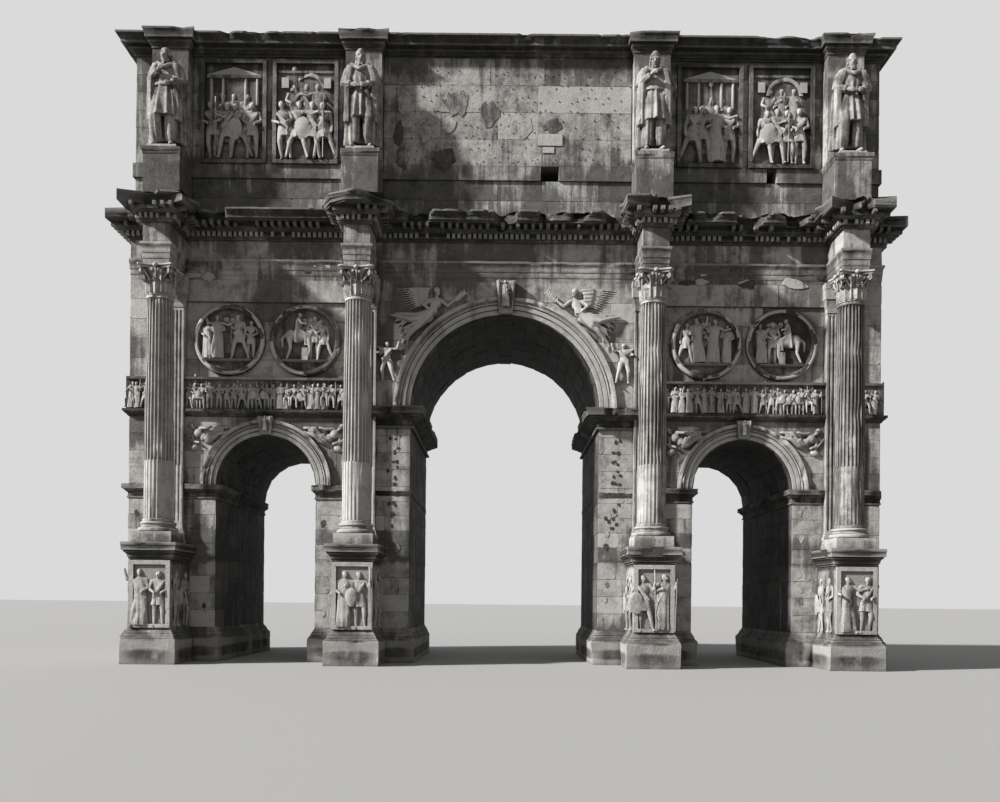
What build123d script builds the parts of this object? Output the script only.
from build123d import *
import math
import os

# Triumphal arch with one wide and two narrow passages. Millimetres, +Z up, front face towards -Y.
# The origin is on the ground, under the middle of the arch.

# Plan of the piers and passages
CENTRAL_SPAN = 6460
SIDE_SPAN = 3430
INNER_PIER = 3205
OUTER_PIER = 2985
WALL_DEPTH = 6400

# Columns, measured from the faces they stand before
INNER_COLUMN_SET = 1650
OUTER_COLUMN_SET = 1430
COLUMN_OUT = 1070

# Pedestals
SOCLE_HEIGHT = 700
FOOT_MOULD_HEIGHT = 460
DIE_HEIGHT = 2240
PEDESTAL_CAP_HEIGHT = 540
DIE_WIDTH = 1340
DIE_OUT = 1750
PEDESTAL_SPREAD = 230
PANEL_MARGIN = 150
PANEL_SINK = 60

# Columns and pilasters
COLUMN_PLINTH_HEIGHT = 360
COLUMN_PLINTH_WIDTH = 1290
COLUMN_BASE_HEIGHT = 340
SHAFT_RADIUS = 475
SHAFT_NECK_RADIUS = 425
SHAFT_SWELL = 12
SHAFT_BAND_HEIGHT = 80
SHAFT_BAND_OUT = 25
FLUTE_COUNT = 24
FLUTE_DEPTH = 42
FLUTE_SHARE = 0.76
CABLE_HEIGHT = 2600
CABLE_DEPTH = 9
CAPITAL_HEIGHT = 1000
ABACUS_WIDTH = 1170
ABACUS_HEIGHT = 130
ABACUS_CUT = 70
ABACUS_HOLLOW = 105
FLEURON_WIDTH = 170
LEAF_COUNT = 8
LEAF_THICKNESS = 50
LEAF_CURL = 120
LOW_LEAF_HEIGHT = 330
LOW_LEAF_WIDTH = 290
HIGH_LEAF_HEIGHT = 590
HIGH_LEAF_WIDTH = 250
VOLUTE_RADIUS = 95
VOLUTE_WIDTH = 110
PILASTER_WIDTH = 960
PILASTER_OUT = 220
PILASTER_FLUTES = 7
PILASTER_FLUTE_DEPTH = 35
PILASTER_BASE_SPREAD = 90
PILASTER_CAPITAL_SPREAD = 110

# Side passages and the bands on the wall above them
SIDE_SPRINGING = 6030
SIDE_ARCHIVOLT_WIDTH = 515
SIDE_KEY_RISE = 615
SIDE_KEY_WIDTH = 510
SIDE_IMPOST_HEIGHT = 470
SIDE_IMPOST_OUT = 200
RELIEF_MOULD_HEIGHT = 230
RELIEF_MOULD_OUT = 190
RELIEF_HEIGHT = 1090
RELIEF_OUT = 90
ROUNDEL_GAP = 90
ROUNDEL_DIAMETER = 2440
ROUNDEL_SPACING = 2600
ROUNDEL_RING_WIDTH = 210
ROUNDEL_RING_OUT = 170
ROUNDEL_DISC_OUT = 70
FIELD_SINK = 80
UPPER_BAND_HEIGHT = 740

# Central passage
CENTRAL_KEY_RISE = 1100
CENTRAL_KEY_WIDTH = 660
CENTRAL_ARCHIVOLT_WIDTH = 590
CENTRAL_IMPOST_HEIGHT = 690
CENTRAL_IMPOST_OUT = 500
ARCHIVOLT_OUT = 150
KEY_OUT = 330

# Entablature, with a break forward over each column
ARCHITRAVE_HEIGHT = 700
FRIEZE_HEIGHT = 650
CORNICE_HEIGHT = 820
BREAK_WIDTH = 860
BREAK_OUT = 1500
ARCHITRAVE_SPREAD = 90
CORNICE_SPREAD = 820
DENTIL_PITCH = 180
DENTIL_WIDTH = 115
DENTIL_OUT = 90
BLOCK_PITCH = 255
BLOCK_WIDTH = 120
BLOCK_OUT = 250
TOOTH_BACKING = 60

# Attic
ATTIC_SETBACK = 100
ATTIC_BASE_HEIGHT = 1350
ATTIC_COURSE_HEIGHT = 480
ATTIC_COURSE_OUT = 80
ATTIC_WALL_HEIGHT = 3680
ATTIC_WALL_THICKNESS = 1200
ATTIC_CORNICE_HEIGHT = 590
ATTIC_CORNICE_SPREAD = 550
ATTIC_BREAK_SPREAD = 270
ATTIC_ROOF_THICKNESS = 400
ATTIC_ROOF_BEARING = 500
ATTIC_PIER_WIDTH = 1230
ATTIC_PIER_OUT = 510
STATUE_PLINTH_WIDTH = 1220
STATUE_PLINTH_OUT = 1250
STATUE_PLINTH_CAP_HEIGHT = 240
STATUE_PLINTH_CAP_SPREAD = 60
STATUE_HEIGHT = 3430
STATUE_WIDTH = 1140
STATUE_DEPTH = 680
STATUE_BASE_HEIGHT = 90
ATTIC_PANEL_WIDTH = 2240
ATTIC_PANEL_GAP = 210
ATTIC_PANEL_MARGIN = 130
ATTIC_PANEL_OUT = 160
ATTIC_PANEL_FRAME = 130
ATTIC_PANEL_SINK = 110
INSCRIPTION_MARGIN = 20
INSCRIPTION_OUT = 60
END_PANEL_WIDTH = 4000
WINDOW_WIDTHS = (620, 340)
WINDOW_XS = (1460, 9060)

# Places in plan
PASSAGE_HALF = CENTRAL_SPAN / 2
SIDE_IN = PASSAGE_HALF + INNER_PIER
SIDE_OUT = SIDE_IN + SIDE_SPAN
SIDE_X = (SIDE_IN + SIDE_OUT) / 2
HALF_WIDTH = SIDE_OUT + OUTER_PIER
HALF_DEPTH = WALL_DEPTH / 2
INNER_X = PASSAGE_HALF + INNER_COLUMN_SET
OUTER_X = HALF_WIDTH - OUTER_COLUMN_SET
COLUMN_XS = (-OUTER_X, -INNER_X, INNER_X, OUTER_X)
COLUMN_Y = HALF_DEPTH + COLUMN_OUT
ATTIC_HALF_WIDTH = HALF_WIDTH - ATTIC_SETBACK
ATTIC_HALF_DEPTH = HALF_DEPTH - ATTIC_SETBACK

# Levels, from the ground up
PEDESTAL_TOP = SOCLE_HEIGHT + FOOT_MOULD_HEIGHT + DIE_HEIGHT + PEDESTAL_CAP_HEIGHT
SHAFT_FOOT = PEDESTAL_TOP + COLUMN_PLINTH_HEIGHT + COLUMN_BASE_HEIGHT
SIDE_RADIUS = SIDE_SPAN / 2
SIDE_CROWN = SIDE_SPRINGING + SIDE_RADIUS
RELIEF_MOULD_FOOT = SIDE_CROWN + SIDE_KEY_RISE
RELIEF_FOOT = RELIEF_MOULD_FOOT + RELIEF_MOULD_HEIGHT
RELIEF_TOP = RELIEF_FOOT + RELIEF_HEIGHT
ROUNDEL_Z = RELIEF_TOP + ROUNDEL_GAP + ROUNDEL_DIAMETER / 2
FIELD_TOP = ROUNDEL_Z + ROUNDEL_DIAMETER / 2 + ROUNDEL_GAP
ORDER_TOP = FIELD_TOP + UPPER_BAND_HEIGHT
CAPITAL_FOOT = ORDER_TOP - CAPITAL_HEIGHT
CENTRAL_CROWN = ORDER_TOP - CENTRAL_KEY_RISE
CENTRAL_SPRINGING = CENTRAL_CROWN - PASSAGE_HALF
FRIEZE_FOOT = ORDER_TOP + ARCHITRAVE_HEIGHT
CORNICE_FOOT = FRIEZE_FOOT + FRIEZE_HEIGHT
ATTIC_BASE_FOOT = CORNICE_FOOT + CORNICE_HEIGHT
ATTIC_COURSE_FOOT = ATTIC_BASE_FOOT + ATTIC_BASE_HEIGHT
ATTIC_FOOT = ATTIC_COURSE_FOOT + ATTIC_COURSE_HEIGHT
ATTIC_TOP = ATTIC_FOOT + ATTIC_WALL_HEIGHT

# Mouldings from the foot up: share of the height, then reach at foot and head as shares of the spread
FOOT_MOULD = ((0.25, 1.0, 1.0), (0.2, 0.9, 0.65), (0.35, 0.65, 0.3), (0.2, 0.2, 0.0))
CAP_MOULD = ((0.15, 0.15, 0.2), (0.3, 0.2, 0.75), (0.35, 0.9, 0.9), (0.2, 1.0, 1.0))
IMPOST_MOULD = ((0.12, 0.25, 0.25), (0.28, 0.1, 0.15), (0.25, 0.3, 0.75), (0.35, 1.0, 1.0))
RELIEF_MOULD = ((0.35, 0.2, 0.5), (0.3, 0.6, 0.9), (0.35, 1.0, 1.0))
FASCIA_MOULD = ((0.24, 0.0, 0.0), (0.26, 0.2, 0.2), (0.28, 0.4, 0.4), (0.12, 0.5, 0.9), (0.1, 1.0, 1.0))
BED_MOULD = ((1.0, 0.08, 0.16),)
DENTIL_MOULD = ((1.0, 0.17, 0.17),)
OVOLO_MOULD = ((0.5, 0.3, 0.36), (0.5, 0.37, 0.4))
BLOCK_MOULD = ((1.0, 0.4, 0.4),)
CORONA_MOULD = ((0.14, 0.78, 0.82), (0.36, 0.86, 0.86), (0.34, 0.88, 0.97), (0.16, 1.0, 1.0))
CORNICE_STAGES = (
    (0.1, BED_MOULD),
    (0.18, DENTIL_MOULD),
    (0.12, OVOLO_MOULD),
    (0.18, BLOCK_MOULD),
    (0.42, CORONA_MOULD),
)
DENTIL_STAGE, BLOCK_STAGE = 1, 3
ATTIC_MOULD = (
    (0.12, 0.1, 0.1),
    (0.16, 0.14, 0.35),
    (0.2, 0.4, 0.4),
    (0.22, 0.75, 0.75),
    (0.2, 0.78, 0.96),
    (0.1, 1.0, 1.0),
)

# Statue from the feet up: share of the height, half width and half depth as shares of width and depth
STATUE_ROBE = (
    (0.0, 0.33, 0.4),
    (0.05, 0.35, 0.42),
    (0.35, 0.33, 0.37),
    (0.6, 0.31, 0.36),
    (0.72, 0.36, 0.38),
    (0.79, 0.38, 0.34),
    (0.82, 0.3, 0.26),
    (0.84, 0.11, 0.17),
)
STATUE_CLOAK = (
    (0.02, 0.42, 0.24),
    (0.35, 0.46, 0.24),
    (0.65, 0.5, 0.26),
    (0.76, 0.48, 0.28),
    (0.82, 0.36, 0.26),
    (0.845, 0.14, 0.2),
)
STATUE_HEAD = (
    (0.83, 0.1, 0.17),
    (0.86, 0.1, 0.19),
    (0.9, 0.14, 0.27),
    (0.95, 0.155, 0.3),
    (0.98, 0.12, 0.24),
    (1.0, 0.05, 0.1),
)
STATUE_SIDES = 21
STATUE_FOLDS = 7
FOLD_DEPTH = 0.07
ARM_RADIUS = 105


def block(x0, x1, y0, y1, z0, z1):
    """A square block between two opposite corners"""
    return Pos(x0, y0, z0) * Box(x1 - x0, y1 - y0, z1 - z0, align=(Align.MIN,) * 3)


def both_sides(solid):
    """The piece and its twin on the other side of the arch's middle"""
    return [solid, mirror(solid, about=Plane.YZ)]


def both_faces(solids):
    """The pieces and their twins on the back"""
    return solids + [mirror(solid, about=Plane.XZ) for solid in solids]


def rectangle(x0, x1, y0, y1):
    """A square-cornered outline in plan, counter-clockwise"""
    return [(x0, y0), (x1, y0), (x1, y1), (x0, y1)]


def broken_outline(half_width, half_depth, break_half, break_out):
    """The body's outline in plan, stepping forward at each column on both faces"""
    front = [(-half_width, -half_depth)]
    for x in COLUMN_XS:
        out = -half_depth - break_out
        front += [(x - break_half, -half_depth), (x - break_half, out)]
        front += [(x + break_half, out), (x + break_half, -half_depth)]
    front.append((half_width, -half_depth))
    return front + [(-x, -y) for x, y in front]


def grow(outline, reach):
    """Every edge of a square-cornered outline moved outwards, with mitred corners"""
    grown = []
    for i, (x, y) in enumerate(outline):
        x_before, y_before = outline[i - 1]
        x_after, y_after = outline[(i + 1) % len(outline)]
        before = Vector(y - y_before, x_before - x).normalized()
        after = Vector(y_after - y, x - x_after).normalized()
        push = (before + after) * reach
        grown.append((x + push.X, y + push.Y))
    return grown


def course(outline, foot, height, reach_foot=0, reach_head=0):
    """One course of masonry, whose sides may slope out or in"""
    lower = Wire.make_polygon([(x, y, foot) for x, y in grow(outline, reach_foot)])
    upper = Wire.make_polygon([(x, y, foot + height) for x, y in grow(outline, reach_head)])
    return Solid.make_loft([lower, upper], ruled=True)


def moulded(outline, foot, height, spread, mould):
    """A moulded course, its profile run round the outline with mitred corners"""
    parts = []
    for share, reach_foot, reach_head in mould:
        parts.append(course(outline, foot, share * height, reach_foot * spread, reach_head * spread))
        foot += share * height
    return parts[0].fuse(*parts[1:]).clean()


def piers():
    """The four piers, from the ground to the springing of the side arches"""
    outer = block(SIDE_OUT, HALF_WIDTH, -HALF_DEPTH, HALF_DEPTH, 0, SIDE_SPRINGING)
    inner = block(PASSAGE_HALF, SIDE_IN, -HALF_DEPTH, HALF_DEPTH, 0, SIDE_SPRINGING)
    outer_right, outer_left = both_sides(outer)
    inner_right, inner_left = both_sides(inner)
    return {
        "pier_outer_left": [outer_left],
        "pier_inner_left": [inner_left],
        "pier_inner_right": [inner_right],
        "pier_outer_right": [outer_right],
    }


def side_arches():
    """The masonry round each side passage's vault"""
    mass = block(PASSAGE_HALF, HALF_WIDTH, -HALF_DEPTH, HALF_DEPTH, SIDE_SPRINGING, CENTRAL_SPRINGING)
    vault = Pos(SIDE_X, 0, SIDE_SPRINGING) * Rot(90, 0, 0) * Cylinder(SIDE_RADIUS, 2 * WALL_DEPTH)
    right, left = both_sides(mass - vault)
    return {"side_arch_left": [left], "side_arch_right": [right]}


def upper_walls():
    """The masonry round the central vault, and the walls beside it with their sunk roundel fields"""
    mass = block(-INNER_X, INNER_X, -HALF_DEPTH, HALF_DEPTH, CENTRAL_SPRINGING, ORDER_TOP)
    vault = Pos(0, 0, CENTRAL_SPRINGING) * Rot(90, 0, 0) * Cylinder(PASSAGE_HALF, 2 * WALL_DEPTH)
    wall = block(INNER_X, HALF_WIDTH, -HALF_DEPTH, HALF_DEPTH, CENTRAL_SPRINGING, ORDER_TOP)
    x0, x1 = INNER_X + PILASTER_WIDTH / 2, OUTER_X - PILASTER_WIDTH / 2
    field = block(x0, x1, -HALF_DEPTH, -HALF_DEPTH + FIELD_SINK, RELIEF_TOP, FIELD_TOP)
    for sunk in both_faces([field]):
        wall -= sunk
    right, left = both_sides(wall)
    return {"central_vault": [mass - vault], "upper_wall_left": [left], "upper_wall_right": [right]}


def pedestal(x):
    """One pedestal on the front, with sunk panels on its die"""
    outline = rectangle(x - DIE_WIDTH / 2, x + DIE_WIDTH / 2, -HALF_DEPTH - DIE_OUT, -HALF_DEPTH)
    die_foot = SOCLE_HEIGHT + FOOT_MOULD_HEIGHT
    cap_foot = die_foot + DIE_HEIGHT
    whole = course(outline, 0, SOCLE_HEIGHT, PEDESTAL_SPREAD, PEDESTAL_SPREAD)
    whole += moulded(outline, SOCLE_HEIGHT, FOOT_MOULD_HEIGHT, PEDESTAL_SPREAD, FOOT_MOULD)
    whole += course(outline, die_foot, DIE_HEIGHT)
    whole += moulded(outline, cap_foot, PEDESTAL_CAP_HEIGHT, PEDESTAL_SPREAD, CAP_MOULD)
    wall = block(x - DIE_WIDTH, x + DIE_WIDTH, -HALF_DEPTH, 0, -DIE_HEIGHT, 2 * PEDESTAL_TOP)
    return whole - wall - die_panels(x, die_foot, cap_foot)


def die_panels(x, foot, top):
    """The sunk panels on the front and the sides of a pedestal's die"""
    half = DIE_WIDTH / 2
    face = -HALF_DEPTH - DIE_OUT
    z0, z1 = foot + PANEL_MARGIN, top - PANEL_MARGIN
    y0, y1 = face + PANEL_MARGIN, -HALF_DEPTH - PANEL_MARGIN
    front = block(x - half + PANEL_MARGIN, x + half - PANEL_MARGIN, face, face + PANEL_SINK, z0, z1)
    left = block(x - half, x - half + PANEL_SINK, y0, y1, z0, z1)
    right = block(x + half - PANEL_SINK, x + half, y0, y1, z0, z1)
    return [front, left, right]


def pier_feet(pedestals):
    """The socle and foot moulding round the piers, between the pedestals"""
    feet = []
    for x0, x1 in ((PASSAGE_HALF, SIDE_IN), (SIDE_OUT, HALF_WIDTH)):
        outline = rectangle(x0, x1, -HALF_DEPTH, HALF_DEPTH)
        foot = course(outline, 0, SOCLE_HEIGHT, PEDESTAL_SPREAD, PEDESTAL_SPREAD)
        foot += moulded(outline, SOCLE_HEIGHT, FOOT_MOULD_HEIGHT, PEDESTAL_SPREAD, FOOT_MOULD)
        foot -= course(outline, 0, PEDESTAL_TOP)
        for stand in pedestals:
            foot -= stand
        feet += foot.solids()
    return [side for foot in feet for side in both_sides(foot)]


def order_pieces(x):
    """One column's base, shaft and capital on the front"""
    centre = Pos(x, -COLUMN_Y, 0)
    return [centre * piece for piece in ORDER]


def round_moulding(out, foot, height):
    """The outline of a half-round moulding's outer edge"""
    flat = out - height / 2
    return ThreePointArc((flat, foot), (out, foot + height / 2), (flat, foot + height))


def column_base():
    """A square plinth under two round mouldings and the hollow between them"""
    foot = PEDESTAL_TOP + COLUMN_PLINTH_HEIGHT
    half = COLUMN_PLINTH_WIDTH / 2
    plinth = block(-half, half, -half, half, PEDESTAL_TOP, foot)
    spread = half - SHAFT_RADIUS
    lower, upper = 0.42 * COLUMN_BASE_HEIGHT, 0.26 * COLUMN_BASE_HEIGHT
    waist = SHAFT_RADIUS + 0.36 * spread
    lower_out, upper_out = SHAFT_RADIUS + 0.9 * spread, SHAFT_RADIUS + 0.58 * spread
    big = round_moulding(lower_out, foot, lower)
    small = round_moulding(upper_out, SHAFT_FOOT - upper, upper)
    hollow = Polyline(big @ 1, (waist, foot + lower), (waist, SHAFT_FOOT - upper), small @ 0)
    axis = Polyline(small @ 1, (0, SHAFT_FOOT), (0, foot), big @ 0)
    return plinth + revolve(Plane.XZ * make_face(big + hollow + small + axis), Axis.Z)


def polar(radius, degrees, height):
    """A point at a radius and angle round the column's axis"""
    turn = math.radians(degrees)
    return Vector(radius * math.cos(turn), radius * math.sin(turn), height)


def fluted_outline(radius, depth, height):
    """A round outline cut by hollow flutes with flat fillets between them"""
    pitch = 360 / FLUTE_COUNT
    half = pitch * FLUTE_SHARE / 2
    edges = []
    for i in range(FLUTE_COUNT):
        start = polar(radius, i * pitch - half, height)
        middle = polar(radius - depth, i * pitch, height)
        end = polar(radius, i * pitch + half, height)
        after = polar(radius, (i + 1) * pitch - half, height)
        edges += [Edge.make_three_point_arc(start, middle, end), Edge.make_line(end, after)]
    return Wire(edges)


def shaft_radius(height):
    """The shaft's radius at a height: a straight taper with a slight swelling"""
    share = (height - SHAFT_FOOT) / (CAPITAL_FOOT - SHAFT_FOOT)
    taper = (SHAFT_NECK_RADIUS - SHAFT_RADIUS) * share
    return SHAFT_RADIUS + taper + SHAFT_SWELL * math.sin(math.pi * share)


def column_shaft():
    """A fluted shaft between two plain bands, its flutes filled up to the cable height"""
    foot, top = SHAFT_FOOT + SHAFT_BAND_HEIGHT, CAPITAL_FOOT - SHAFT_BAND_HEIGHT
    cable_top = SHAFT_FOOT + CABLE_HEIGHT
    middle = (cable_top + top) / 2
    lower = [fluted_outline(shaft_radius(z), CABLE_DEPTH, z) for z in (foot, cable_top)]
    upper = [fluted_outline(shaft_radius(z), FLUTE_DEPTH, z) for z in (cable_top, middle, top)]
    whole = Solid.make_loft(lower, ruled=True) + Solid.make_loft(upper, ruled=True)
    upright = (Align.CENTER, Align.CENTER, Align.MIN)
    for z, radius in ((SHAFT_FOOT, SHAFT_RADIUS), (top, SHAFT_NECK_RADIUS)):
        whole += Pos(0, 0, z) * Cylinder(radius + SHAFT_BAND_OUT, SHAFT_BAND_HEIGHT, align=upright)
    return whole


def leaf(height, width):
    """One leaf that rises along the bell and curls outwards at its tip, facing +X"""
    root = SHAFT_NECK_RADIUS - 3 * LEAF_THICKNESS
    face = SHAFT_NECK_RADIUS + LEAF_THICKNESS
    side = [
        (root, 0),
        (face, 0),
        (face + 0.1 * LEAF_CURL, 0.55 * height),
        (face + 0.4 * LEAF_CURL, 0.8 * height),
        (face + LEAF_CURL, 0.86 * height),
        (face + 0.9 * LEAF_CURL, 0.97 * height),
        (face + 0.5 * LEAF_CURL, height),
        (face, 0.95 * height),
        (root, 0.7 * height),
    ]
    front = [(-0.4, 0), (0.4, 0), (0.5, 0.35), (0.46, 0.62), (0.3, 0.86), (0.16, 1.0)]
    front = [(width * across, height * up) for across, up in front]
    front += [(-across, up) for across, up in reversed(front[2:])]
    bar = extrude(Plane.XZ * make_face(Polyline(*side, close=True)), width / 2, both=True)
    shape = extrude(Plane.YZ * make_face(Polyline(*front, close=True)), 2 * face)
    return Pos(0, 0, CAPITAL_FOOT) * (bar & shape)


def volute():
    """A scroll under the abacus's corner and the stalk that carries it, facing +X"""
    top = CAPITAL_HEIGHT - ABACUS_HEIGHT
    centre = ABACUS_WIDTH / math.sqrt(2) - ABACUS_CUT - VOLUTE_RADIUS
    neck = SHAFT_NECK_RADIUS
    stalk = [
        (neck - 3 * LEAF_THICKNESS, 0.5 * top),
        (neck + LEAF_THICKNESS, 0.55 * top),
        (centre, top - 2 * VOLUTE_RADIUS),
        (centre, top),
        (neck - 3 * LEAF_THICKNESS, top),
    ]
    scroll = Pos(centre, top - VOLUTE_RADIUS) * Circle(VOLUTE_RADIUS)
    profile = make_face(Polyline(*stalk, close=True)) + scroll
    return Pos(0, 0, CAPITAL_FOOT) * extrude(Plane.XZ * profile, VOLUTE_WIDTH / 2, both=True)


def abacus():
    """The slab with four hollow sides, cut corners and a flower in the middle of each side"""
    half = ABACUS_WIDTH / 2
    cut = ABACUS_CUT / math.sqrt(2)
    side = ((cut - half, -half), (0, ABACUS_HOLLOW - half), (half - cut, -half), (half, cut - half))
    edges = []
    for turn in range(4):
        start, middle, end, corner = [Vector(*point).rotate(Axis.Z, 90 * turn) for point in side]
        edges += [Edge.make_three_point_arc(start, middle, end), Edge.make_line(end, corner)]
    slab = extrude(make_face(Wire(edges)), ABACUS_HEIGHT)
    flower = FLEURON_WIDTH / 2
    for turn in range(4):
        front = block(-flower, flower, -half + 0.3 * ABACUS_HOLLOW, 0, -0.3 * ABACUS_HEIGHT, ABACUS_HEIGHT)
        slab += Rot(0, 0, 90 * turn) * front
    return Pos(0, 0, ORDER_TOP - ABACUS_HEIGHT) * slab


def column_capital():
    """A bell with two rows of leaves, four corner scrolls and a hollow-sided abacus"""
    top = ORDER_TOP - ABACUS_HEIGHT
    lip = ABACUS_WIDTH / 2 - ABACUS_HOLLOW
    neck = SHAFT_NECK_RADIUS - LEAF_THICKNESS
    bell = [(0, CAPITAL_FOOT), (neck, CAPITAL_FOOT), (neck, (CAPITAL_FOOT + top) / 2), (lip, top), (0, top)]
    whole = revolve(Plane.XZ * make_face(Polyline(*bell, close=True)), Axis.Z) + abacus()
    low, high = leaf(LOW_LEAF_HEIGHT, LOW_LEAF_WIDTH), leaf(HIGH_LEAF_HEIGHT, HIGH_LEAF_WIDTH)
    step = 360 / LEAF_COUNT
    for i in range(LEAF_COUNT):
        whole += [Rot(0, 0, i * step) * low, Rot(0, 0, (i + 0.5) * step) * high]
    for i in range(4):
        whole += Rot(0, 0, 45 + 90 * i) * volute()
    return whole


def fluted_front(x):
    """The plan of a pilaster, its front edge cut by flutes"""
    half = PILASTER_WIDTH / 2
    front = -HALF_DEPTH - PILASTER_OUT
    pitch = PILASTER_WIDTH / (PILASTER_FLUTES + 0.5)
    deep = front + PILASTER_FLUTE_DEPTH
    points = [(x - half, front)]
    for i in range(PILASTER_FLUTES):
        centre = x + (i - (PILASTER_FLUTES - 1) / 2) * pitch
        points += [(centre - 0.36 * pitch, front), (centre - 0.2 * pitch, deep)]
        points += [(centre + 0.2 * pitch, deep), (centre + 0.36 * pitch, front)]
    return points + [(x + half, front), (x + half, -HALF_DEPTH), (x - half, -HALF_DEPTH)]


def pilaster(x):
    """A fluted pilaster on the wall behind a column, with its own base and capital"""
    half = PILASTER_WIDTH / 2
    outline = rectangle(x - half, x + half, -HALF_DEPTH - PILASTER_OUT, -HALF_DEPTH)
    base_height = COLUMN_PLINTH_HEIGHT + COLUMN_BASE_HEIGHT
    fluted = Pos(0, 0, SHAFT_FOOT) * make_face(Polyline(*fluted_front(x), close=True))
    whole = moulded(outline, PEDESTAL_TOP, base_height, PILASTER_BASE_SPREAD, FOOT_MOULD)
    whole += extrude(fluted, CAPITAL_FOOT - SHAFT_FOOT)
    whole += moulded(outline, CAPITAL_FOOT, CAPITAL_HEIGHT, PILASTER_CAPITAL_SPREAD, CAP_MOULD)
    room = 2 * PILASTER_WIDTH
    return whole - block(x - room, x + room, -HALF_DEPTH, 0, 0, 2 * ORDER_TOP)


def pilaster_slot(x, foot, top):
    """The room that a pilaster takes out of the bands on the wall"""
    half = PILASTER_WIDTH / 2
    return block(x - half, x + half, -2 * HALF_DEPTH, 2 * HALF_DEPTH, foot, top)


def side_imposts():
    """The moulded bands at the springing of the side arches, stopped by the pilasters"""
    foot = SIDE_SPRINGING - SIDE_IMPOST_HEIGHT
    imposts = []
    for x0, x1, column_x in ((PASSAGE_HALF, SIDE_IN, INNER_X), (SIDE_OUT, HALF_WIDTH, OUTER_X)):
        outline = rectangle(x0, x1, -HALF_DEPTH, HALF_DEPTH)
        band = moulded(outline, foot, SIDE_IMPOST_HEIGHT, SIDE_IMPOST_OUT, IMPOST_MOULD)
        band -= course(outline, foot, SIDE_IMPOST_HEIGHT)
        band -= pilaster_slot(column_x, foot, SIDE_SPRINGING)
        imposts += [solid for solid in band.solids() if solid.center().X > INNER_X]
    return [side for band in imposts for side in both_sides(band)]


def central_imposts():
    """The moulded bands at the springing of the central arch, from pilaster to pilaster"""
    foot = CENTRAL_SPRINGING - CENTRAL_IMPOST_HEIGHT
    outline = rectangle(PASSAGE_HALF, INNER_X, -HALF_DEPTH, HALF_DEPTH)
    band = moulded(outline, foot, CENTRAL_IMPOST_HEIGHT, CENTRAL_IMPOST_OUT, IMPOST_MOULD)
    band -= course(outline, foot, CENTRAL_IMPOST_HEIGHT)
    edge = INNER_X - PILASTER_WIDTH / 2
    band -= block(edge, 2 * INNER_X, -WALL_DEPTH, WALL_DEPTH, foot, CENTRAL_SPRINGING)
    return both_sides(band)


def archivolt(x, springing, radius, width):
    """The moulded ring on the wall round an arch"""
    face = -HALF_DEPTH
    steps = [(0, 0), (0, 0.5), (0.3, 0.5), (0.3, 0.65), (0.62, 0.65), (0.62, 0.8), (0.8, 1), (1, 1), (1, 0)]
    points = [(x + radius + share * width, face - reach * ARCHIVOLT_OUT) for share, reach in steps]
    section = Pos(0, 0, springing) * make_face(Polyline(*points, close=True))
    return revolve(section, Axis((x, face, springing), (0, -1, 0)), 180)


def keystone(x, crown, width, rise):
    """A wedge-shaped scrolled block at the crown of an arch, on the wall"""
    face = -HALF_DEPTH
    head = rise + crown
    half = width / 2
    foot_half = 0.68 * half
    front = [(x - foot_half, crown), (x + foot_half, crown), (x + half, head), (x - half, head)]
    lower = Pos(0, face, 0) * make_face(Plane.XZ * Polyline(*front, close=True))
    wedge = extrude(lower, KEY_OUT, dir=(0, -1, 0))
    side = [
        (face, crown),
        (face - 0.6 * KEY_OUT, crown),
        (face - 0.8 * KEY_OUT, crown + 0.5 * rise),
        (face - KEY_OUT, crown + 0.72 * rise),
        (face - KEY_OUT, head),
        (face, head),
    ]
    profile = extrude(Plane.YZ * make_face(Polyline(*side, close=True)), abs(x) + width, both=True)
    return wedge & profile


def arch_trims():
    """The archivolts and keystones on the front and back"""
    side_key = keystone(SIDE_X, SIDE_CROWN, SIDE_KEY_WIDTH, SIDE_KEY_RISE)
    side_ring = archivolt(SIDE_X, SIDE_SPRINGING, SIDE_RADIUS, SIDE_ARCHIVOLT_WIDTH) - side_key
    key = keystone(0, CENTRAL_CROWN, CENTRAL_KEY_WIDTH, CENTRAL_KEY_RISE)
    ring = archivolt(0, CENTRAL_SPRINGING, PASSAGE_HALF, CENTRAL_ARCHIVOLT_WIDTH) - key
    side_rings = [side for half in side_ring.solids() for side in both_sides(half)]
    return {
        "side_archivolts": both_faces(side_rings),
        "central_archivolts": both_faces(list(ring.solids())),
        "side_keystones": both_faces(both_sides(side_key)),
        "central_keystones": both_faces([key]),
    }


def relief_band():
    """The carved band on its moulding, over the side passages and round the ends"""
    outline = rectangle(-HALF_WIDTH, HALF_WIDTH, -HALF_DEPTH, HALF_DEPTH)
    band = moulded(outline, RELIEF_MOULD_FOOT, RELIEF_MOULD_HEIGHT, RELIEF_MOULD_OUT, RELIEF_MOULD)
    band += course(outline, RELIEF_FOOT, RELIEF_HEIGHT, RELIEF_OUT, RELIEF_OUT)
    band -= course(outline, RELIEF_MOULD_FOOT, RELIEF_TOP - RELIEF_MOULD_FOOT)
    edge = INNER_X - PILASTER_WIDTH / 2
    band -= block(-edge, edge, -WALL_DEPTH, WALL_DEPTH, RELIEF_MOULD_FOOT, RELIEF_TOP)
    for x in COLUMN_XS:
        band -= pilaster_slot(x, RELIEF_MOULD_FOOT, RELIEF_TOP)
    return list(band.solids())


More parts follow.
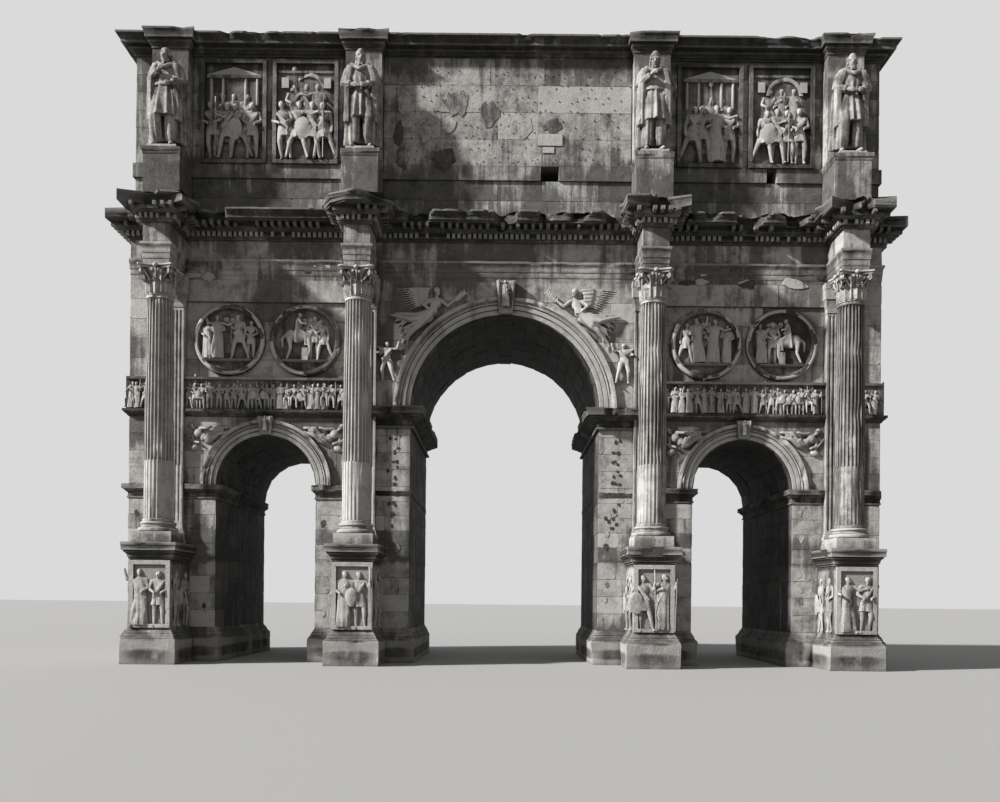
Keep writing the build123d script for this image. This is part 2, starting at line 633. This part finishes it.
def roundel(seat):
    """One round relief with a raised ring, standing out from a seat facing -Y"""
    radius = ROUNDEL_DIAMETER / 2
    inner = radius - ROUNDEL_RING_WIDTH
    points = [
        (0, 0),
        (radius, 0),
        (radius, 0.7 * ROUNDEL_RING_OUT),
        (radius - 0.3 * ROUNDEL_RING_WIDTH, ROUNDEL_RING_OUT),
        (inner + 0.25 * ROUNDEL_RING_WIDTH, ROUNDEL_RING_OUT),
        (inner, ROUNDEL_DISC_OUT),
        (0, ROUNDEL_DISC_OUT),
    ]
    turned = revolve(Plane.XZ * make_face(Polyline(*points, close=True)), Axis.Z)
    return seat * turned


def roundels():
    """Two roundels over each side passage, and one on each end"""
    pieces = []
    for x in (SIDE_X - ROUNDEL_SPACING / 2, SIDE_X + ROUNDEL_SPACING / 2):
        seat = Pos(x, -HALF_DEPTH + FIELD_SINK, ROUNDEL_Z) * Rot(90, 0, 0)
        pieces += both_sides(roundel(seat))
    pieces = both_faces(pieces)
    end_seat = Pos(HALF_WIDTH, 0, ROUNDEL_Z) * Rot(0, 90, 0)
    return pieces + both_sides(roundel(end_seat))


def is_hollow(outline, i):
    """Whether a counter-clockwise outline turns inwards at a corner"""
    before = Vector(*outline[i]) - Vector(*outline[i - 1])
    after = Vector(*outline[(i + 1) % len(outline)]) - Vector(*outline[i])
    return before.cross(after).Z < 0


def toothed(outline, reach, pitch, width, out):
    """An outline with evenly spaced teeth on every edge, clear of each other in the hollows"""
    core = grow(outline, reach)
    gap = (pitch - width) / 2
    points = []
    for i, corner in enumerate(core):
        j = (i + 1) % len(core)
        start, run = Vector(*corner), Vector(*core[j]) - Vector(*corner)
        along = run.normalized()
        away = Vector(along.Y, -along.X) * out
        near = out + gap if is_hollow(core, i) else gap / 2
        far = out + gap if is_hollow(core, j) else gap / 2
        count = int((run.length - near - far - width) // pitch) + 1
        first = near + (run.length - near - far - (count - 1) * pitch - width) / 2
        points.append(start)
        for k in range(count):
            left = start + along * (first + k * pitch)
            right = left + along * width
            points += [left, left + away, right + away, right]
    return points


def tooth_course(outline, foot, height, reach, pitch, width, out):
    """A ring of teeth round the outline, with its backing let into the course behind"""
    plan = make_face(Polyline(*toothed(outline, reach, pitch, width, out), close=True))
    inside = course(outline, foot, height, reach - TOOTH_BACKING, reach - TOOTH_BACKING)
    return extrude(Pos(0, 0, foot) * plan, height) - inside


def entablature():
    """Architrave, frieze and cornice, breaking forward over the columns"""
    outline = broken_outline(HALF_WIDTH, HALF_DEPTH, BREAK_WIDTH / 2, BREAK_OUT)
    feet, parts = [], []
    foot = CORNICE_FOOT
    for stage, (share, mould) in enumerate(CORNICE_STAGES):
        backing = TOOTH_BACKING if stage in (DENTIL_STAGE, BLOCK_STAGE) else 0
        height = share * CORNICE_HEIGHT
        base = grow(outline, -backing)
        parts.append(moulded(base, foot, height, CORNICE_SPREAD, mould))
        feet.append((foot, height, mould[0][1] * CORNICE_SPREAD))
        foot += height
    dentils = tooth_course(outline, *feet[DENTIL_STAGE], DENTIL_PITCH, DENTIL_WIDTH, DENTIL_OUT)
    blocks = tooth_course(outline, *feet[BLOCK_STAGE], BLOCK_PITCH, BLOCK_WIDTH, BLOCK_OUT)
    return {
        "architrave": [moulded(outline, ORDER_TOP, ARCHITRAVE_HEIGHT, ARCHITRAVE_SPREAD, FASCIA_MOULD)],
        "frieze": [course(outline, FRIEZE_FOOT, FRIEZE_HEIGHT)],
        "cornice": [parts[0].fuse(*parts[1:])],
        "dentil_course": [dentils],
        "modillion_course": [blocks],
    }


def attic_walls():
    """The attic's base, its walls round one chamber, and the roof on them"""
    w, d, t = ATTIC_HALF_WIDTH, ATTIC_HALF_DEPTH, ATTIC_WALL_THICKNESS
    front = block(-w, w, -d, -d + t, ATTIC_FOOT, ATTIC_TOP)
    left = block(-w, -w + t, -d + t, d - t, ATTIC_FOOT, ATTIC_TOP)
    inset = t - ATTIC_ROOF_BEARING
    roof = block(-w + inset, w - inset, -d + inset, d - inset, ATTIC_TOP, ATTIC_TOP + ATTIC_ROOF_THICKNESS)
    return {
        "attic_base": [block(-w, w, -d, d, ATTIC_BASE_FOOT, ATTIC_COURSE_FOOT)],
        "attic_front_wall": [front],
        "attic_back_wall": [mirror(front, about=Plane.XZ)],
        "attic_left_wall": [left],
        "attic_right_wall": [mirror(left, about=Plane.YZ)],
        "attic_roof": [roof],
    }


def end_wedge(half_width, half_depth, foot, height):
    """The room on the right end of a ring, parted from the long sides along the mitres"""
    reach = half_depth * 2
    points = [
        (half_width - half_depth, 0),
        (half_width - half_depth + reach, -reach),
        (half_width - half_depth + reach, reach),
    ]
    return extrude(Pos(0, 0, foot) * make_face(Polyline(*points, close=True)), height)


def attic_course(plinths):
    """The projecting course under the attic's walls, pierced by the small windows"""
    outline = rectangle(-ATTIC_HALF_WIDTH, ATTIC_HALF_WIDTH, -ATTIC_HALF_DEPTH, ATTIC_HALF_DEPTH)
    ring = course(outline, ATTIC_COURSE_FOOT, ATTIC_COURSE_HEIGHT, ATTIC_COURSE_OUT, ATTIC_COURSE_OUT)
    inner = grow(outline, -ATTIC_WALL_THICKNESS)
    ring -= course(inner, ATTIC_COURSE_FOOT, ATTIC_COURSE_HEIGHT)
    for stand in plinths:
        ring -= stand
    for x, width in zip(WINDOW_XS, WINDOW_WIDTHS):
        ring -= block(x - width / 2, x + width / 2, -WALL_DEPTH, WALL_DEPTH, ATTIC_COURSE_FOOT, ATTIC_FOOT)
    wedge = end_wedge(ATTIC_HALF_WIDTH, ATTIC_HALF_DEPTH, ATTIC_COURSE_FOOT, ATTIC_COURSE_HEIGHT)
    ends = both_sides(wedge)
    end_runs = [solid for end in ends for solid in (ring & end).solids()]
    for end in ends:
        ring -= end
    return {"attic_course_runs": list(ring.solids()), "attic_course_ends": end_runs}


def attic_cornice():
    """The top cornice, stepping forward over each statue, in long runs and ends"""
    body = rectangle(-ATTIC_HALF_WIDTH, ATTIC_HALF_WIDTH, -ATTIC_HALF_DEPTH, ATTIC_HALF_DEPTH)
    inset = ATTIC_WALL_THICKNESS - ATTIC_ROOF_BEARING
    ring = moulded(body, ATTIC_TOP, ATTIC_CORNICE_HEIGHT, ATTIC_CORNICE_SPREAD, ATTIC_MOULD)
    half = ATTIC_PIER_WIDTH / 2
    for x in COLUMN_XS:
        front = rectangle(x - half, x + half, -ATTIC_HALF_DEPTH - ATTIC_PIER_OUT, inset - ATTIC_HALF_DEPTH)
        step = moulded(front, ATTIC_TOP, ATTIC_CORNICE_HEIGHT, ATTIC_BREAK_SPREAD, ATTIC_MOULD)
        ring += both_faces([step])
    ring -= course(body, ATTIC_TOP, ATTIC_CORNICE_HEIGHT, -inset, -inset)
    wedge = end_wedge(ATTIC_HALF_WIDTH, ATTIC_HALF_DEPTH, ATTIC_TOP, ATTIC_CORNICE_HEIGHT)
    ends = both_sides(wedge)
    end_runs = [solid for end in ends for solid in (ring & end).solids()]
    for end in ends:
        ring -= end
    return {"attic_cornice_runs": list(ring.solids()), "attic_cornice_ends": end_runs}


def statue_plinth(x):
    """The moulded block in front of the attic that carries a statue"""
    face = -ATTIC_HALF_DEPTH
    half = STATUE_PLINTH_WIDTH / 2
    outline = rectangle(x - half, x + half, face - STATUE_PLINTH_OUT, face)
    cap_foot = ATTIC_FOOT - STATUE_PLINTH_CAP_HEIGHT
    whole = course(outline, ATTIC_BASE_FOOT, cap_foot - ATTIC_BASE_FOOT)
    whole += moulded(outline, cap_foot, STATUE_PLINTH_CAP_HEIGHT, STATUE_PLINTH_CAP_SPREAD, CAP_MOULD)
    return whole - block(x - 2 * half, x + 2 * half, face, 0, ATTIC_BASE_FOOT, ATTIC_FOOT)


def attic_pier(x):
    """The flat pier behind a statue, up to the top cornice"""
    face = -ATTIC_HALF_DEPTH
    half = ATTIC_PIER_WIDTH / 2
    return block(x - half, x + half, face - ATTIC_PIER_OUT, face, ATTIC_FOOT, ATTIC_TOP)


def figure_loft(form, ripple):
    """A body lofted through many-sided rings with soft folds, from a table of shares"""
    wires = []
    for share, wide, deep in form:
        points = []
        for i in range(STATUE_SIDES):
            turn = 2 * math.pi * i / STATUE_SIDES
            fold = 1 + ripple * math.cos(STATUE_FOLDS * turn)
            across = math.cos(turn) * wide * STATUE_WIDTH * fold
            along = math.sin(turn) * deep * STATUE_DEPTH * fold
            points.append((across, along, share * STATUE_HEIGHT))
        wires.append(Wire.make_polygon(points))
    return Solid.make_loft(wires, ruled=True)


def arm(side):
    """One upper arm and the forearm folded across the waist"""
    w, d, h = side * STATUE_WIDTH, STATUE_DEPTH, STATUE_HEIGHT
    joints = [(0.36 * w, 0, 0.78 * h), (0.4 * w, -0.12 * d, 0.62 * h), (0.02 * w, -0.36 * d, 0.64 * h)]
    limb = None
    for start, end in zip(joints, joints[1:]):
        run = Vector(*end) - Vector(*start)
        length = (Align.CENTER, Align.CENTER, Align.MIN)
        bone = Plane(start, z_dir=run) * Cylinder(ARM_RADIUS, run.length, align=length)
        limb = bone if limb is None else limb + bone
        limb += Pos(*end) * Sphere(ARM_RADIUS)
    return limb


def statue_figure():
    """A standing figure in a long robe and a cloak, hands folded, with a cap"""
    half = STATUE_PLINTH_WIDTH / 2
    foot = block(-0.8 * half, 0.8 * half, -STATUE_DEPTH / 2, STATUE_DEPTH / 2, 0, STATUE_BASE_HEIGHT)
    cloak = Pos(0, 0.22 * STATUE_DEPTH, 0) * figure_loft(STATUE_CLOAK, FOLD_DEPTH)
    body = figure_loft(STATUE_ROBE, FOLD_DEPTH) + cloak + figure_loft(STATUE_HEAD, 0)
    return body + arm(1) + arm(-1) + foot


def statue(x):
    """A figure on its plinth, before its pier"""
    y = ATTIC_HALF_DEPTH + (ATTIC_PIER_OUT + STATUE_PLINTH_OUT) / 2
    return Pos(x, -y, ATTIC_FOOT) * STATUE


def framed_panel(x, width):
    """A sunk panel in a raised frame on the attic's front wall"""
    face = -ATTIC_HALF_DEPTH
    top = ATTIC_TOP - ATTIC_PANEL_MARGIN
    slab = block(x - width / 2, x + width / 2, face - ATTIC_PANEL_OUT, face, ATTIC_FOOT, top)
    x0, x1 = x - width / 2 + ATTIC_PANEL_FRAME, x + width / 2 - ATTIC_PANEL_FRAME
    z0, z1 = ATTIC_FOOT + ATTIC_PANEL_FRAME, top - ATTIC_PANEL_FRAME
    return slab - block(x0, x1, face - ATTIC_PANEL_OUT, face - ATTIC_PANEL_OUT + ATTIC_PANEL_SINK, z0, z1)


def attic_panels():
    """The framed panels between the outer statues, one on each end, and the broad middle fields"""
    step = (ATTIC_PANEL_WIDTH + ATTIC_PANEL_GAP) / 2
    middle = (INNER_X + OUTER_X) / 2
    pieces = []
    for x in (middle - step, middle + step):
        pieces += both_sides(framed_panel(x, ATTIC_PANEL_WIDTH))
    turned = Rot(0, 0, 90) * framed_panel(0, END_PANEL_WIDTH)
    end_panel = Pos(ATTIC_HALF_WIDTH - ATTIC_HALF_DEPTH, 0, 0) * turned
    half = INNER_X - ATTIC_PIER_WIDTH / 2 - INSCRIPTION_MARGIN
    face = -ATTIC_HALF_DEPTH
    field = block(-half, half, face - INSCRIPTION_OUT, face, ATTIC_FOOT, ATTIC_TOP)
    return {
        "attic_relief_panels": both_faces(pieces),
        "attic_end_panels": both_sides(end_panel),
        "inscription_panels": both_faces([field]),
    }


def arch_nodes():
    """Every piece of the arch, by name"""
    nodes = {}
    nodes.update(piers())
    nodes.update(side_arches())
    nodes.update(upper_walls())
    pedestals = [pedestal(x) for x in COLUMN_XS]
    nodes["front_pedestals"] = pedestals
    nodes["back_pedestals"] = [mirror(stand, about=Plane.XZ) for stand in pedestals]
    nodes["pier_foot_mouldings"] = pier_feet(both_faces(pedestals))
    orders = [order_pieces(x) for x in COLUMN_XS]
    for index, name in enumerate(("column_bases", "column_shafts", "column_capitals")):
        front = [pieces[index] for pieces in orders]
        nodes["front_" + name] = front
        nodes["back_" + name] = [mirror(piece, about=Plane.XZ) for piece in front]
    pilasters = [pilaster(x) for x in COLUMN_XS]
    nodes["front_pilasters"] = pilasters
    nodes["back_pilasters"] = [mirror(piece, about=Plane.XZ) for piece in pilasters]
    nodes["side_imposts"] = side_imposts()
    nodes["central_imposts"] = central_imposts()
    nodes.update(arch_trims())
    nodes["relief_band"] = relief_band()
    nodes["roundels"] = roundels()
    nodes.update(entablature())
    nodes.update(attic_walls())
    plinths = [statue_plinth(x) for x in COLUMN_XS]
    nodes["statue_plinths"] = both_faces(plinths)
    nodes.update(attic_course(both_faces(plinths)))
    nodes["attic_piers"] = both_faces([attic_pier(x) for x in COLUMN_XS])
    nodes.update(attic_cornice())
    nodes.update(attic_panels())
    statues = [statue(x) for x in COLUMN_XS]
    nodes["front_statues"] = statues
    nodes["back_statues"] = [mirror(figure, about=Plane.XZ) for figure in statues]
    return nodes


ORDER = (column_base(), column_shaft(), column_capital())
STATUE = statue_figure()

os.makedirs("parts", exist_ok=True)
for node, pieces in arch_nodes().items():
    solids = [solid for piece in pieces for solid in piece.solids()]
    export_step(Compound(solids), f"parts/{node}.step")
    print(node, len(solids))
